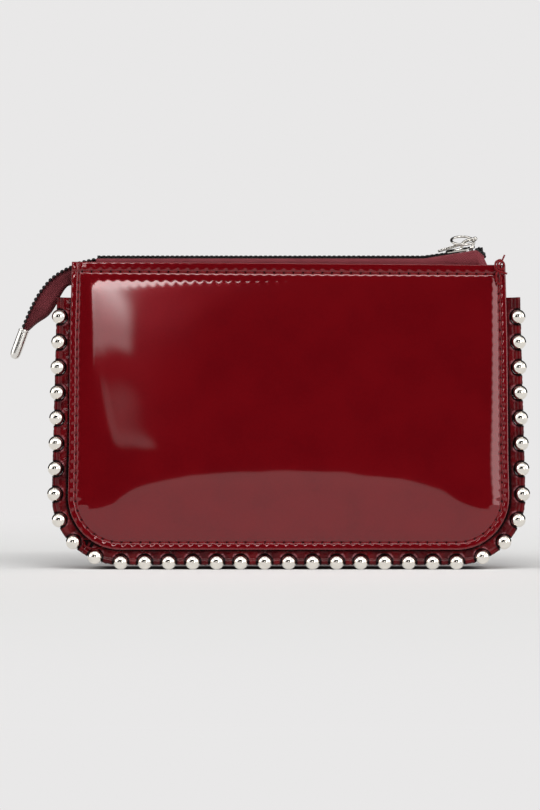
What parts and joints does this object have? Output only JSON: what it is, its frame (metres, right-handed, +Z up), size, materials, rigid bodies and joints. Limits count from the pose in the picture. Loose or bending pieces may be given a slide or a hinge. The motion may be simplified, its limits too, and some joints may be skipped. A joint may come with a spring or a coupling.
{
  "type": "zip pouch wallet",
  "caption": "Flat patent-leather pouch wallet with a zip along its top, a capped loose zip tail, and metal beads strung along its sides and bottom.",
  "frame": {"origin": "point on the standing surface under the middle of the pouch, in its mid-plane", "axes": "+X along the width towards the closed slider, -Y out of the front panel, +Z up"},
  "size_m": [0.2372, 0.0273, 0.152],
  "materials": {
    "patent_leather": "high-gloss patent coating",
    "gusset_leather": "gloss patent coating",
    "casing_leather": "high-gloss patent coating",
    "board": "pressed fibre board",
    "lining_cloth": "fine matt weave",
    "thread": "waxed thread",
    "cord": "braided",
    "bead_metal": "polished nickel",
    "zip_tape": "woven herringbone tape",
    "zip_teeth": "black enamel",
    "slider_metal": "polished nickel",
    "cap_metal": "polished nickel"
  },
  "bodies": {
    "front_half": {"front_panel": "patent_leather", "front_stiffener": "board", "front_lining": "lining_cloth", "front_gusset": "gusset_leather", "front_gusset_lining": "lining_cloth", "front_perimeter_stitching": "thread", "front_top_stitching": "thread", "bead_casing_left": "casing_leather", "bead_casing_main": "casing_leather", "bead_cord": "cord", "beads_left": "bead_metal", "beads_bottom": "bead_metal", "beads_right": "bead_metal", "zip_tape_front": "zip_tape", "zip_teeth_front": "zip_teeth", "top_stop_front": "zip_teeth"},
    "rear_half": {"rear_panel": "patent_leather", "rear_stiffener": "board", "rear_lining": "lining_cloth", "rear_gusset": "gusset_leather", "rear_gusset_lining": "lining_cloth", "rear_perimeter_stitching": "thread", "rear_top_stitching": "thread", "card_pocket_rear": "lining_cloth", "card_pocket_front": "lining_cloth", "zip_tape_rear": "zip_tape", "zip_teeth_rear": "zip_teeth", "top_stop_rear": "zip_teeth"},
    "slider": {"slider_body": "slider_metal", "slider_crown": "slider_metal"},
    "pull_link": {"pull_link": "slider_metal"},
    "pull_ring": {"pull_ring": "slider_metal"},
    "zip_tail": {"tail_tape_front": "zip_tape", "tail_tape_rear": "zip_tape", "tail_teeth_front": "zip_teeth", "tail_teeth_rear": "zip_teeth", "tail_stop": "cap_metal", "tail_end_cap": "cap_metal"}
  },
  "joints": [
    {"name": "mouth_open", "type": "hinge", "parent": "front_half", "child": "rear_half", "pos_m": [0, 0.00005, 0.01459], "axis": [-1, 0, 0], "range_deg": [0, 8], "deforming": ["zip_tape_rear", "zip_teeth_rear"]},
    {"name": "slider_travel", "type": "slide", "parent": "front_half", "child": "slider", "axis": [-0.9999, 0, -0.0153], "range_m": [0, 0.155], "deforming": ["zip_teeth_front", "zip_tape_front", "zip_teeth_rear", "zip_tape_rear"]},
    {"name": "pull_link_flip", "type": "hinge", "parent": "slider", "child": "pull_link", "pos_m": [0.08042, 0, 0.14912], "axis": [0, 1, 0], "range_deg": [0, 130]},
    {"name": "pull_ring_swing", "type": "hinge", "parent": "slider", "child": "pull_ring", "pos_m": [0.08325, 0, 0.15052], "axis": [0, 1, 0], "range_deg": [0, 150]},
    {"name": "zip_tail_flex", "type": "hinge", "parent": "front_half", "child": "zip_tail", "pos_m": [-0.088, 0, 0.14259], "axis": [0, 1, 0], "range_deg": [0, 25], "stiffness_Nm_per_rad": 0.005}
  ],
  "couplings": [
    {"joint": "pull_ring_swing", "follows": "pull_link_flip", "ratio": 1.1}
  ]
}
